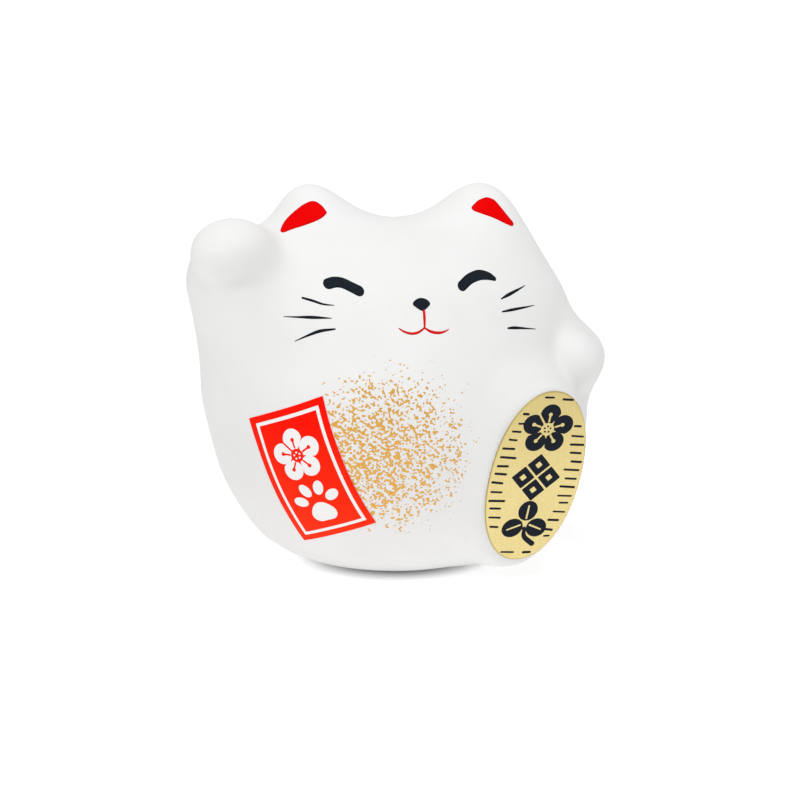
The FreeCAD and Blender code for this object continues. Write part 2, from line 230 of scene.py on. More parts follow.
def wave_field(p, vectors, phases):
    """Random smooth field at points, with a mean of 0 and a spread of 1."""
    total = np.zeros(len(p))
    for vector, phase in zip(vectors, phases):
        total += np.cos(p @ vector + phase)
    return total * math.sqrt(2.0 / len(phases))


UNEVEN = waves(np.random.default_rng(SEED), UNEVEN_WAVES, UNEVEN_LENGTHS, 3)


def underside_height(p):
    """Height of the body's underside at points: level near the axis, then rising outward."""
    reach = np.hypot((p[:, 0] - BELLY[0][0]) / FOOT_OVALNESS, p[:, 1])
    return FOOT_RISE * np.maximum(reach - FOOT_FLAT, 0.0) ** 2


def masses_gap(p, least_blend=0.0):
    """Gap to the cat's rounded masses, with the swelling that carries the coin.

    least_blend is the least rounding of the creases round the paws.
    """
    gap = blended(ellipsoid_gap(p, *BELLY), ellipsoid_gap(p, *HEAD), HEAD_BLEND)
    gap = blended(gap, ellipsoid_gap(p, *LEFT_EAR), EAR_BLEND)
    gap = blended(gap, ellipsoid_gap(p, *RIGHT_EAR), EAR_BLEND)
    arm = rod_gap(p, ARM_ROOT, ARM_ROOT_RADIUS, ARM_TOP, ARM_TOP_RADIUS)
    gap = blended(gap, arm, ARM_BLEND)
    gap = blended(gap, ellipsoid_gap(p, *RAISED_PAW), max(RAISED_PAW_BLEND, least_blend))
    gap = blended(gap, ellipsoid_gap(p, *CURLED_TOES), max(CURLED_TOES_BLEND, least_blend))
    gap = blended(gap, ellipsoid_gap(p, *LEFT_ARM), LEFT_ARM_BLEND)
    gap = blended(gap, ellipsoid_gap(p, *RESTING_PAW), max(RESTING_PAW_BLEND, least_blend))
    gap = rounded_both(gap, underside_height(p) - p[:, 2], FLOOR_EDGE)
    mound = slab_gap(COIN.inward(p), MOUND_HALF, MOUND_DROP, MOUND_EDGE)
    gap = blended(gap, mound, MOUND_BLEND)
    return blended(gap, ellipsoid_gap(p, *TAIL), TAIL_BLEND)


def clay_gap(p, least_blend=0.0):
    """Gap to the casting's outer skin above the floor, with the coin's flat seat."""
    gap = masses_gap(p, least_blend) + UNEVEN_DEPTH * wave_field(p, *UNEVEN)
    q = COIN.inward(p)
    gap = blended(gap, slab_gap(q, SEAT_HALF, 0.0, SEAT_EDGE), SEAT_BLEND)
    pocket = np.maximum(coin_gap(q[:, 0], q[:, 1], POCKET_HALF), -q[:, 2])
    return np.maximum(gap, -pocket)


def outer_gap(p, least_blend=0.0):
    """Gap to the outer skin and the foot's flat face."""
    return rounded_both(clay_gap(p, least_blend), -p[:, 2], FLOOR_EDGE)


def start_gap(p):
    """Gap to an outer skin without undercuts, so that each ray from the core meets it once."""
    return outer_gap(p, START_BLEND)


def cavity_gap(p):
    """Gap to the hollow inside, a wall's thickness in from the skin and up from the floor."""
    return rounded_both(masses_gap(p) + WALL, WALL - p[:, 2], CAVITY_EDGE)


def slope_of(gap, p, step=0.02):
    """Unit normals of a gap's level surfaces at points, from differences over a small step."""
    parts = []
    for offset in np.eye(3) * step:
        parts.append(gap(p + offset) - gap(p - offset))
    normal = np.stack(parts, axis=1)
    return normal / np.maximum(np.linalg.norm(normal, axis=1), 1e-9)[:, None]


def first_out(gap, start, heading, near, far, rounds=24):
    """Where rays leave a gap's inside, found by halving between two reaches."""
    inside = np.full(len(heading), float(near))
    outside = np.full(len(heading), float(far))
    for _ in range(rounds):
        half = 0.5 * (inside + outside)
        within = gap(start + half[:, None] * heading) < 0
        inside = np.where(within, half, inside)
        outside = np.where(within, outside, half)
    return start + (0.5 * (inside + outside))[:, None] * heading


# ==================================== meshes

def piece_from(name, vertices, polygons, material, nodes, inset=None):
    """A finished piece of the object, standing for CAD nodes, from points in millimetres."""
    mesh = bpy.data.meshes.new(name)
    mesh.from_pydata(((vertices + AXIS) * MM).tolist(), [], polygons)
    mesh.polygons.foreach_set("use_smooth", np.ones(len(mesh.polygons), dtype=bool))
    if inset is not None:
        layer = mesh.attributes.new("inset", "FLOAT", "POINT")
        layer.data.foreach_set("value", inset.astype(np.float32))
    mesh.materials.append(material)
    mesh.update()
    piece = bpy.data.objects.new(name, mesh)
    bpy.context.scene.collection.objects.link(piece)
    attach(piece, BODY)
    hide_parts(*nodes)
    return piece


AROUND = 480                       # points in each ring of the casting
OUTER_RINGS = 250
CAVITY_RINGS = 80
RELAX_ROUNDS = 14                  # enough to close in on the undercuts below the paws
# radius and height down the inside of the foot ring, across the shallow dish and up the vent
FOOT_PROFILE = (
    (6.38, 0.05), (6.25, 0.22), (6.14, 0.5), (5.96, 0.74), (5.6, 0.84), (5.0, 0.88),
    (4.2, 0.9), (3.2, 0.9), (2.1, 0.92), (1.86, 1.0), (1.76, 1.2), (1.75, 1.9), (1.76, 2.7),
    (1.85, 2.93), (1.98, 3.0),
)
CAVITY_MOUTH = 2.2                 # radius at which the cavity's floor takes over from the vent


def rays(polars):
    """Unit headings on rings about the upright axis, one ring for each polar angle."""
    azimuths = 2 * np.pi * np.arange(AROUND) / AROUND
    ring = np.stack((np.cos(azimuths), np.sin(azimuths), np.zeros(AROUND)), axis=1)
    up = np.array((0.0, 0.0, 1.0))
    return np.stack([ring * math.sin(a) + up * math.cos(a) for a in polars])


def relaxed(rings, pole):
    """Outer rings spread evenly and put on the true skin, undercuts too; the last ring stays."""
    for _ in range(RELAX_ROUNDS):
        above = np.concatenate((np.broadcast_to(pole, (1, AROUND, 3)), rings[:-2]))
        below = rings[1:]
        inner = rings[:-1]
        beside = np.roll(inner, 1, axis=1) + np.roll(inner, -1, axis=1)
        moved = 0.5 * inner + 0.125 * (beside + above + below)
        flat = moved.reshape(-1, 3)
        flat = flat - outer_gap(flat)[:, None] * slope_of(outer_gap, flat)
        rings = np.concatenate((flat.reshape(inner.shape), rings[-1:]))
    return rings


def rings_of(gap, polars, near):
    """Rings of points where rays from the core leave a gap's inside."""
    headings = rays(polars)
    return first_out(gap, CORE, headings.reshape(-1, 3), near, REACH).reshape(headings.shape)


def ring_polygons(count):
    """Polygons of a closed skin: a first point, rings one after another, and a last point."""
    this = np.arange(AROUND)
    after = (this + 1) % AROUND
    pairs = list(zip(this.tolist(), after.tolist()))
    polygons = [(0, 1 + a, 1 + b) for a, b in pairs]
    for ring in range(count - 1):
        upper = 1 + ring * AROUND
        lower = upper + AROUND
        quads = np.stack((upper + this, lower + this, lower + after, upper + after), axis=1)
        polygons += quads.tolist()
    base = 1 + (count - 1) * AROUND
    last = base + AROUND
    return polygons + [(base + a, last, base + b) for a, b in pairs]


def casting():
    """The hollow casting as one closed skin: outside, foot, vent and cavity."""
    up = np.array(((0.0, 0.0, 1.0),))
    top = first_out(outer_gap, CORE, up, SKIN_FROM, REACH)
    last = math.pi - math.atan2(FOOT_RING, CORE[2])
    polars = last * np.arange(1, OUTER_RINGS + 1) / OUTER_RINGS
    outer = relaxed(rings_of(start_gap, polars, SKIN_FROM), top)
    outer[-1, :, 2] = 0.0
    circle = rays((math.pi / 2,))[0]
    foot = np.stack([circle * r + np.array((0.0, 0.0, z)) for r, z in FOOT_PROFILE])
    first = math.pi - math.atan2(CAVITY_MOUTH, CORE[2] - WALL)
    polars = first * np.arange(CAVITY_RINGS, 0, -1) / CAVITY_RINGS
    hollow = rings_of(cavity_gap, polars, CAVITY_FROM)
    ceiling = first_out(cavity_gap, CORE, up, CAVITY_FROM, REACH)
    rings = np.concatenate((outer, foot, hollow))
    vertices = np.concatenate((top, rings.reshape(-1, 3), ceiling))
    polygons = ring_polygons(len(rings))
    return piece_from("casting", vertices, polygons, bisque(), ["cat_casting"])


CROSSING_MARGIN = 0.08             # an outline keeps this share of a cell away from its corners
FRONT_REACH = 40.0                 # from the cat's middle plane forward, past the skin
FACE_REACH = 8.0                   # from the plane of a face to the skin, either way


def covered(gap):
    """Polygons of the cells that a gap's inside covers, as keys.

    A key is a corner of the grid, or a point where the outline crosses an edge between corners.
    """
    rows, columns = gap.shape
    size = rows * columns
    inside = gap < 0
    every = inside[:-1, :-1] & inside[:-1, 1:] & inside[1:, 1:] & inside[1:, :-1]
    some = inside[:-1, :-1] | inside[:-1, 1:] | inside[1:, 1:] | inside[1:, :-1]
    r, c = np.nonzero(every)
    corner = r * columns + c
    above = corner + columns
    polygons = np.stack((corner, corner + 1, above + 1, above), axis=1).tolist()
    steps = ((0, 0), (0, 1), (1, 1), (1, 0))
    for r, c in np.argwhere(some & ~every).tolist():
        corners = [(r + a, c + b) for a, b in steps]
        edges = (
            size + r * columns + c, 2 * size + r * columns + c + 1,
            size + (r + 1) * columns + c, 2 * size + r * columns + c,
        )
        polygon = []
        for k in range(4):
            here = corners[k]
            there = corners[(k + 1) % 4]
            if inside[here]:
                polygon.append(here[0] * columns + here[1])
            if inside[here] != inside[there]:
                polygon.append(edges[k])
        polygons.append(polygon)
    return polygons


def places(keys, gap):
    """Row and column of each key, and whether the outline crosses an edge there."""
    rows, columns = gap.shape
    size = rows * columns
    kind = keys // size
    r, c = np.divmod(keys % size, columns)
    other_r = np.minimum(r + (kind == 2), rows - 1)
    other_c = np.minimum(c + (kind == 1), columns - 1)
    here = gap[r, c]
    there = gap[other_r, other_c]
    crossing = kind > 0
    share = np.where(crossing, here / np.where(crossing, here - there, 1.0), 0.0)
    share = np.where(crossing, np.clip(share, CROSSING_MARGIN, 1.0 - CROSSING_MARGIN), 0.0)
    return r + share * (other_r - r), c + share * (other_c - c), crossing


def on_skin(x, y, face, rounds=24):
    """Points of the skin straight behind or before points of a face, seen along its own Z."""
    start_height, reach = (0.0, FRONT_REACH) if face is FRONT else (-FACE_REACH, 2 * FACE_REACH)
    start = face.outward(x, y, np.full(len(x), start_height))
    heading = np.broadcast_to(face.axes[2], start.shape)
    return first_out(clay_gap, start, heading, 0.0, reach, rounds)


def film(name, outline, extent, step, face, heights, edge, material, nodes, flat=False):
    """A thin closed film over the part of the skin that an outline covers.

    outline gives the gap for x and y in the face; extent is (low x, low y, high x, high y) there.
    heights are those of the underside, of the outline and of the top, above the skin, and edge is
    the width over which the top rises from the outline. A flat film lies on the face's own plane.
    """
    xs = np.arange(extent[0], extent[2] + step, step)
    ys = np.arange(extent[1], extent[3] + step, step)
    across, up = np.meshgrid(xs, ys)
    gap = outline(across.ravel(), up.ravel()).reshape(across.shape)
    gap[0] = gap[-1] = gap[:, 0] = gap[:, -1] = step
    polygons = covered(gap)
    keys = np.unique(np.concatenate([np.array(p) for p in polygons]))
    r, c, rim = places(keys, gap)
    x = extent[0] + c * step
    y = extent[1] + r * step
    if flat:
        points = face.outward(x, y, np.zeros(len(x)))
        normals = np.broadcast_to(face.axes[2], points.shape)
    else:
        points = on_skin(x, y, face)
        normals = slope_of(clay_gap, points)
    depth = np.where(rim, 0.0, -gap[np.rint(r).astype(int), np.rint(c).astype(int)])
    rise = np.sqrt(1.0 - (1.0 - np.clip(depth / edge, 0.0, 1.0)) ** 2)
    under, at_rim, top = heights
    height = np.where(rim, at_rim, at_rim + (top - at_rim) * rise)
    inner = np.flatnonzero(~rim)
    lower = points[inner] + under * normals[inner]
    vertices = np.concatenate((points + height[:, None] * normals, lower))
    upper_index = {key: i for i, key in enumerate(keys.tolist())}
    lower_index = dict(upper_index)
    for i, k in enumerate(inner.tolist()):
        lower_index[int(keys[k])] = len(keys) + i
    faces = [[upper_index[k] for k in p] for p in polygons]
    faces += [[lower_index[k] for k in reversed(p)] for p in polygons]
    inset = np.concatenate((depth, depth[inner])) * MM
    return piece_from(name, vertices, faces, material, nodes, inset)


# ==================================== outlines in a plane

FAR = 1e3                          # a gap wider than any outline here


def smooth_path(points, steps=8, closed=False):
    """Points along a Catmull-Rom curve, each with its width if the points carry one."""
    points = np.array(points, dtype=float)
    if closed:
        padded = np.concatenate((points[-1:], points, points[:2]))
    else:
        first = 2 * points[:1] - points[1:2]
        last = 2 * points[-1:] - points[-2:-1]
        padded = np.concatenate((first, points, last))
    path = []
    for a, b, c, d in zip(padded, padded[1:], padded[2:], padded[3:]):
        for t in np.arange(steps) / steps:
            path.append(0.5 * (2 * b + (c - a) * t + (2 * a - 5 * b + 4 * c - d) * t * t
                               + (3 * b - a - 3 * c + d) * t ** 3))
    if not closed:
        path.append(points[-1])
    return np.array(path)


def stroke_gap(x, y, points, steps=14):
    """Gap to a brush stroke through (x, y, half width) points, with round ends."""
    gap = np.full(len(x), FAR)
    path = smooth_path(points, steps)
    for (ax, ay, aw), (bx, by, bw) in zip(path, path[1:]):
        dx, dy = bx - ax, by - ay
        share = np.clip(((x - ax) * dx + (y - ay) * dy) / (dx * dx + dy * dy), 0.0, 1.0)
        away = np.hypot(x - ax - share * dx, y - ay - share * dy)
        gap = np.minimum(gap, away - (aw + (bw - aw) * share))
    return gap


def polygon_gap(x, y, corners):
    """Gap to the inside of a closed outline."""
    away = np.full(len(x), FAR)
    inside = np.zeros(len(x), dtype=bool)
    for (ax, ay), (bx, by) in zip(corners, np.roll(corners, -1, axis=0)):
        dx, dy = bx - ax, by - ay
        share = np.clip(((x - ax) * dx + (y - ay) * dy) / (dx * dx + dy * dy), 0.0, 1.0)
        away = np.minimum(away, np.hypot(x - ax - share * dx, y - ay - share * dy))
        level = (ay > y) != (by > y)
        if by != ay:
            inside ^= level & (x < ax + (y - ay) * dx / dy)
    return np.where(inside, -away, away)


def box_gap(x, y, half_width, half_height, corner=0.0):
    """Gap to a rectangle about the origin with rounded corners."""
    across = np.abs(x) - half_width + corner
    up = np.abs(y) - half_height + corner
    outside = np.hypot(np.maximum(across, 0.0), np.maximum(up, 0.0))
    return outside + np.minimum(np.maximum(across, up), 0.0) - corner


def turned(x, y, degrees, shift=(0.0, 0.0)):
    """Coordinates in a motif that is shifted and then turned clockwise."""
    return rotated(x - shift[0], y - shift[1], degrees)


def around(reach, degrees):
    """A point at a reach from the origin, turned clockwise from straight up."""
    turn = math.radians(degrees)
    return reach * math.sin(turn), reach * math.cos(turn)


def blossom_gap(x, y, size):
    """Five round petals with stamens cut in them, about a small heart."""
    gap = np.hypot(x, y) - 0.15 * size
    line = 0.035 * size
    for k in range(5):
        px, py = turned(x, y, 72 * k)
        petal = np.hypot(px, py - 0.6 * size) - 0.385 * size
        petal = np.maximum(petal, 0.25 * size - np.hypot(px, py))
        stamen = stroke_gap(px, py, ((0, 0.3 * size, line), (0, 0.52 * size, line)), 1)
        head = np.hypot(px, py - 0.58 * size) - 0.075 * size
        petal = np.maximum(petal, -np.minimum(stamen, head))
        between_x, between_y = turned(x, y, 72 * k + 36)
        seam = np.maximum(np.abs(between_x) - line, -between_y)
        gap = np.maximum(np.minimum(gap, petal), -seam)
    return gap


def paw_print_gap(x, y, size):
    """Four toes over one broad pad."""
    lobe = (0.32 * size, 0.3 * size)
    left = oval_gap(x + 0.2 * size, y + 0.4 * size, lobe)
    right = oval_gap(x - 0.2 * size, y + 0.4 * size, lobe)
    pad = blended(left, right, 0.2 * size)
    gap = blended(pad, oval_gap(x, y + 0.2 * size, (0.34 * size, 0.3 * size)), 0.2 * size)
    for degrees in (-68, -23, 23, 68):
        px, py = turned(x, y, degrees, around(0.72 * size, degrees))
        gap = np.minimum(gap, oval_gap(px, py, (0.2 * size, 0.29 * size)))
    return gap


def lozenges_gap(x, y, size):
    """Four lozenges, each with a smaller one cut in it, set in a larger lozenge."""
    gap = np.full(len(x), FAR)
    for shift in ((0, 0.5), (0, -0.5), (0.5, 0), (-0.5, 0)):
        px, py = turned(x, y, 45, (shift[0] * size, shift[1] * size))
        tile = box_gap(px, py, 0.315 * size, 0.315 * size, 0.03 * size)
        tile = np.maximum(tile, -box_gap(px, py, 0.1 * size, 0.1 * size))
        gap = np.minimum(gap, tile)
    return gap


def trefoil_gap(x, y, size):
    """Three round leaves with their veins cut in them, and a curled stem."""
    stem = ((0.0, -0.2 * size, 0.06 * size), (0.08 * size, -0.55 * size, 0.09 * size),
            (0.45 * size, -0.85 * size, 0.1 * size))
    gap = stroke_gap(x, y, stem)
    for degrees in (-112, 0, 112):
        px, py = turned(x, y, degrees, around(0.5 * size, degrees))
        leaf = oval_gap(px, py, (0.37 * size, 0.4 * size))
        vein = stroke_gap(px, py, ((0, -0.3 * size, 0.035 * size), (0, 0.2 * size, 0.03 * size)), 1)
        gap = np.minimum(gap, np.maximum(leaf, -vein))
    return gap


# ==================================== materials

def tree_of(name):
    """A new node material: its tree and its shader."""
    material = bpy.data.materials.new(name)
    material.use_nodes = True
    tree = material.node_tree
    return material, tree, tree.nodes["Principled BSDF"]


def set_up(node, **values):
    """Sets a node's sockets by name, with underscores for spaces."""
    for name, value in values.items():
        node.inputs[name.replace("_", " ")].default_value = value


def grain(tree, size_mm, detail=3.0, stretch=(1.0, 1.0, 1.0)):
    """A noise texture whose features are about the given size, in object coordinates."""
    place = tree.nodes.new("ShaderNodeTexCoord")
    scale = tree.nodes.new("ShaderNodeMapping")
    scale.inputs["Scale"].default_value = stretch
    noise = tree.nodes.new("ShaderNodeTexNoise")
    set_up(noise, Scale=1.0 / (size_mm * MM), Detail=detail, Roughness=0.55)
    tree.links.new(place.outputs["Object"], scale.inputs["Vector"])
    tree.links.new(scale.outputs["Vector"], noise.inputs["Vector"])
    return noise.outputs["Fac"]


def height_of(tree):
    """Height above the floor, in metres."""
    place = tree.nodes.new("ShaderNodeTexCoord")
    split = tree.nodes.new("ShaderNodeSeparateXYZ")
    tree.links.new(place.outputs["Object"], split.inputs[0])
    return split.outputs["Z"]


def ramp(tree, source, low, high, dark, light):
    """Colours from dark to light as a value goes from low to high."""
    node = tree.nodes.new("ShaderNodeValToRGB")
    node.color_ramp.elements[0].position = low
    node.color_ramp.elements[0].color = (*dark, 1.0)
    node.color_ramp.elements[1].position = high
    node.color_ramp.elements[1].color = (*light, 1.0)
    tree.links.new(source, node.inputs["Fac"])
    return node.outputs["Color"]


def spread(tree, source, low, high, low_value, high_value):
    """A value mapped from one range to another, and held at its ends."""
    node = tree.nodes.new("ShaderNodeMapRange")
    node.clamp = True
    set_up(node, From_Min=low, From_Max=high, To_Min=low_value, To_Max=high_value)
    tree.links.new(source, node.inputs["Value"])
    return node.outputs["Result"]


def mixed(tree, share, a, b):
    """Two colours mixed by a share socket; each colour is a socket or three numbers."""
    node = tree.nodes.new("ShaderNodeMix")
    node.data_type = "RGBA"
    tree.links.new(share, node.inputs[0])
    for socket, colour in ((node.inputs[6], a), (node.inputs[7], b)):
        if isinstance(colour, bpy.types.NodeSocket):
            tree.links.new(colour, socket)
        else:
            socket.default_value = (*colour, 1.0)
    return node.outputs[2]


def bumped(tree, shader, layers):
    """Fine relief from (height socket, depth in millimetres) layers, one over another."""
    normal = None
    for height, depth in layers:
        bump = tree.nodes.new("ShaderNodeBump")
        set_up(bump, Strength=1.0, Distance=depth * MM)
        tree.links.new(height, bump.inputs["Height"])
        if normal is not None:
            tree.links.new(normal, bump.inputs["Normal"])
        normal = bump.outputs["Normal"]
    tree.links.new(normal, shader.inputs["Normal"])


def inset_share(tree, width_mm):
    """0 at a film's outline, rising to 1 at a width inside it."""
    node = tree.nodes.new("ShaderNodeAttribute")
    node.attribute_name = "inset"
    return spread(tree, node.outputs["Fac"], 0.0, width_mm * MM, 0.0, 1.0)


def bisque():
    """Unglazed white earthenware: chalky, with a fine grain and rare pale specks."""
    material, tree, shader = tree_of("white_bisque")
    cloud = grain(tree, 9.0, 2.0)
    colour = ramp(tree, cloud, 0.3, 0.7, (0.742, 0.741, 0.735), (0.768, 0.768, 0.764))
    speck = spread(tree, grain(tree, 0.32, 1.0), 0.72, 0.8, 0.0, 0.35)
    colour = mixed(tree, speck, colour, (0.66, 0.64, 0.6))
    tree.links.new(colour, shader.inputs["Base Color"])
    fine = grain(tree, 0.16, 3.0)
    tree.links.new(spread(tree, fine, 0.3, 0.7, 0.62, 0.78), shader.inputs["Roughness"])
    set_up(shader, Specular_IOR_Level=0.25)
    bumped(tree, shader, ((grain(tree, 1.6, 3.0), 0.03), (fine, 0.014)))
    return material


POOLED_WIDTH = 0.22                # paint dries darker in this rim
POOLED_SHADE = 0.72


def brushed_paint(name, dark, light, roughness, specular):
    """Matt hand-brushed paint: uneven cover, and darker where it pooled at the edge."""
    material, tree, shader = tree_of(name)
    streaks = grain(tree, 0.5, 4.0, (1.0, 1.0, 3.0))
    colour = ramp(tree, streaks, 0.3, 0.7, dark, light)
    pooled = tuple(POOLED_SHADE * v for v in dark)
    colour = mixed(tree, inset_share(tree, POOLED_WIDTH), pooled, colour)
    tree.links.new(colour, shader.inputs["Base Color"])
    low, high = roughness
    tree.links.new(spread(tree, streaks, 0.3, 0.7, low, high), shader.inputs["Roughness"])
    set_up(shader, Specular_IOR_Level=specular)
    bumped(tree, shader, ((streaks, 0.012), (grain(tree, 0.12, 2.0), 0.006)))
    return material


def gold_paint():
    """Bronze-powder paint: dull metal, its grains catching the light unevenly."""
    material, tree, shader = tree_of("gold_stipple_paint")
    flakes = grain(tree, 0.11, 2.0)
    patches = grain(tree, 1.4, 2.0)
    colour = ramp(tree, flakes, 0.32, 0.7, (0.6, 0.3, 0.045), (0.86, 0.5, 0.11))
    colour = mixed(tree, spread(tree, patches, 0.35, 0.65, 0.0, 0.3), colour, (0.66, 0.34, 0.06))
    tree.links.new(colour, shader.inputs["Base Color"])
    tree.links.new(spread(tree, flakes, 0.3, 0.7, 0.55, 0.38), shader.inputs["Roughness"])
    set_up(shader, Metallic=0.55, Specular_IOR_Level=0.3)
    bumped(tree, shader, ((flakes, 0.012),))
    return material


def label_vinyl():
    """White satin label film."""
    material, tree, shader = tree_of("label_vinyl")
    weave = grain(tree, 0.25, 2.0)
    colour = ramp(tree, weave, 0.35, 0.65, (0.8, 0.79, 0.78), (0.84, 0.835, 0.83))
    tree.links.new(colour, shader.inputs["Base Color"])
    tree.links.new(spread(tree, grain(tree, 2.0), 0.3, 0.7, 0.38, 0.5), shader.inputs["Roughness"])
    set_up(shader, Specular_IOR_Level=0.3)
    bumped(tree, shader, ((grain(tree, 2.5, 2.0), 0.02), (weave, 0.003)))
    return material


def label_ink():
    """Red screen print on the label with a faint mottle, a warmer red towards its foot."""
    material, tree, shader = tree_of("label_red_ink")
    mottle = grain(tree, 0.22, 3.0)
    colour = ramp(tree, mottle, 0.3, 0.7, (0.86, 0.001, 0.0), (0.93, 0.006, 0.0))
    cloud = spread(tree, grain(tree, 5.0, 1.0), 0.35, 0.65, 0.0, 0.25)
    colour = mixed(tree, cloud, colour, (0.92, 0.018, 0.001))
    low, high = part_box("label_film")
    drop = spread(tree, height_of(tree), low.z, high.z, 1.0, 0.0)
    colour = mixed(tree, spread(tree, drop, 0.1, 0.9, 0.0, 0.85), colour, (0.93, 0.034, 0.006))
    tree.links.new(colour, shader.inputs["Base Color"])
    tree.links.new(spread(tree, mottle, 0.3, 0.7, 0.42, 0.55), shader.inputs["Roughness"])
    set_up(shader, Specular_IOR_Level=0.04)
    bumped(tree, shader, ((grain(tree, 2.5, 2.0), 0.02), (mottle, 0.003)))
    return material


def coin_foil():
    """Pale gold foil with a fine sandy grain, and painted shade that darkens it towards its top and
    along its cut edge.
    """
    material, tree, shader = tree_of("pale_gold_foil")
    sand = grain(tree, 0.15, 2.0)
    colour = ramp(tree, sand, 0.34, 0.66, (0.7, 0.56, 0.2), (0.89, 0.755, 0.385))
    cloud = spread(tree, grain(tree, 6.0, 1.0), 0.3, 0.7, 0.0, 0.35)
    colour = mixed(tree, cloud, colour, (0.85, 0.71, 0.33))
    # painted shade: the foil darkens towards its top
    low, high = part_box("coin_foil")
    height = spread(tree, height_of(tree), low.z, high.z, 0.0, 1.0)
    colour = mixed(tree, spread(tree, height, 0.45, 1.0, 0.0, 0.5), colour, (0.52, 0.42, 0.15))
    # painted shade: a dark band along the cut edge, where the foil sits in its pocket
    colour = mixed(tree, inset_share(tree, 0.25), (0.5, 0.37, 0.11), colour)
    tree.links.new(colour, shader.inputs["Base Color"])
    tree.links.new(spread(tree, sand, 0.3, 0.7, 0.42, 0.6), shader.inputs["Roughness"])
    set_up(shader, Metallic=0.6, Specular_IOR_Level=0.4)
    bumped(tree, shader, ((sand, 0.008),))
    return material


def coin_ink():
    """Blue-black print on the foil, slightly broken where the foil's grain shows through."""
    material, tree, shader = tree_of("coin_black_ink")
    sand = grain(tree, 0.13, 2.0)
    colour = ramp(tree, sand, 0.3, 0.75, (0.006, 0.009, 0.015), (0.016, 0.021, 0.032))
    worn = spread(tree, grain(tree, 0.3, 3.0), 0.68, 0.76, 0.0, 0.3)
    colour = mixed(tree, worn, colour, (0.1, 0.09, 0.06))
    tree.links.new(colour, shader.inputs["Base Color"])
    tree.links.new(spread(tree, sand, 0.3, 0.7, 0.6, 0.75), shader.inputs["Roughness"])
    set_up(shader, Specular_IOR_Level=0.06)
    bumped(tree, shader, ((sand, 0.006),))
    return material


# ==================================== painted marks

# Every film has its grid's step, its heights at the underside, outline and top, and its edge.
PAINT_STEP = 0.1
PAINT_HEIGHTS = (-0.04, 0.0, 0.05)
PAINT_EDGE = 0.16
MARGIN = 0.4                       # each film's grid reaches this far past its outline

# (x, z) outlines and (x, z, half width) strokes, from the middle of the CAD node's box
RIGHT_EAR_RED = (
    (-3.68, -1.72), (-2.66, -0.48), (-1.26, 0.72), (0.24, 1.75), (1.64, 2.17), (2.74, 1.62),
    (3.36, 0.78), (3.38, 0.42), (2.34, -0.3), (0.34, -1.02), (-1.76, -1.63), (-3.2, -2.08),
    (-3.62, -2.04),
)
LEFT_EAR_RED = (
    (-3.22, 0.7), (-2.7, 1.2), (-1.87, 1.73), (-0.7, 2.06), (0.36, 1.79), (0.98, 1.2),
    (2.48, -0.75), (3.12, -1.55), (3.2, -2.0), (2.76, -2.14), (1.95, -1.82), (-0.14, -0.8),
    (-2.26, -0.02), (-3.0, 0.26),
)
RIGHT_EYE = (
    (-2.02, 0.17, 0.69), (-1.11, 0.42, 0.7), (-0.1, 0.37, 0.7), (0.98, -0.08, 0.7),
    (2.06, -0.6, 0.72),
)
LEFT_EYE = (
    (-2.6, -0.6, 0.7), (-1.27, 0.21, 0.7), (0.36, 0.6, 0.68), (1.84, 0.38, 0.54),
    (2.85, -0.08, 0.3),
)
NOSE = (
    (-1.34, -0.05), (-0.89, 0.5), (-0.03, 0.77), (0.85, 0.5), (1.23, -0.08), (0.64, -0.66),
    (-0.01, -0.98), (-0.74, -0.62),
)
MOUTH = (
    ((0.24, 1.67, 0.19), (0.22, 0.44, 0.19), (0.1, -0.86, 0.13)),
    ((0.12, -0.84, 0.12), (-0.86, -1.44, 0.17), (-1.91, -1.58, 0.18), (-2.91, -1.3, 0.15),
     (-3.58, -0.87, 0.09)),
    ((0.08, -0.84, 0.12), (0.94, -1.37, 0.19), (1.99, -1.59, 0.2), (2.91, -1.5, 0.14),
     (3.69, -1.16, 0.06)),
)
RIGHT_WHISKERS = (
    ((-0.66, 2.97, 0.15), (0.73, 2.62, 0.18), (2.04, 2.23, 0.14), (3.59, 2.13, 0.05)),
    ((-3.52, 0.36, 0.05), (-1.63, 0.35, 0.13), (0.51, 0.38, 0.22), (3.02, 0.39, 0.06)),
    ((-2.17, -3.05, 0.05), (-0.56, -2.24, 0.14), (1.27, -1.45, 0.22), (3.35, -1.06, 0.12)),
)
LEFT_WHISKERS = (
    ((-2.85, 1.79, 0.1), (-1.24, 2.28, 0.23), (1.7, 3.08, 0.05)),
    ((-2.96, 0.05, 0.11), (-0.91, 0.15, 0.2), (2.78, 0.27, 0.05)),
    ((-2.31, -2.28, 0.13), (-1.2, -2.36, 0.21), (0.2, -2.58, 0.15), (2.6, -3.02, 0.05)),
)


def mark_extent(node):
    """A little more than a painted mark's box, across and up."""
    low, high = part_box(node)
    low = np.array(low) / MM - AXIS - 2 * MARGIN
    high = np.array(high) / MM - AXIS + 2 * MARGIN
    return low[0], low[2], high[0], high[2]


def painted(name, node, outline, material):
    """Paint on the clay within an outline about the middle of a CAD node."""
    centre = middle(node)

    def gap(x, y):
        return outline(x - centre[0], y - centre[2])

    return film(name, gap, mark_extent(node), PAINT_STEP, FRONT, PAINT_HEIGHTS, PAINT_EDGE,
                material, [node])


def filled_in(points):
    """Outline function of the inside of a smooth closed curve."""
    corners = smooth_path(points, 6, closed=True)
    return lambda x, y: polygon_gap(x, y, corners)


def brushed(*strokes):
    """Outline function of brush strokes."""
    return lambda x, y: np.min([stroke_gap(x, y, points) for points in strokes], axis=0)


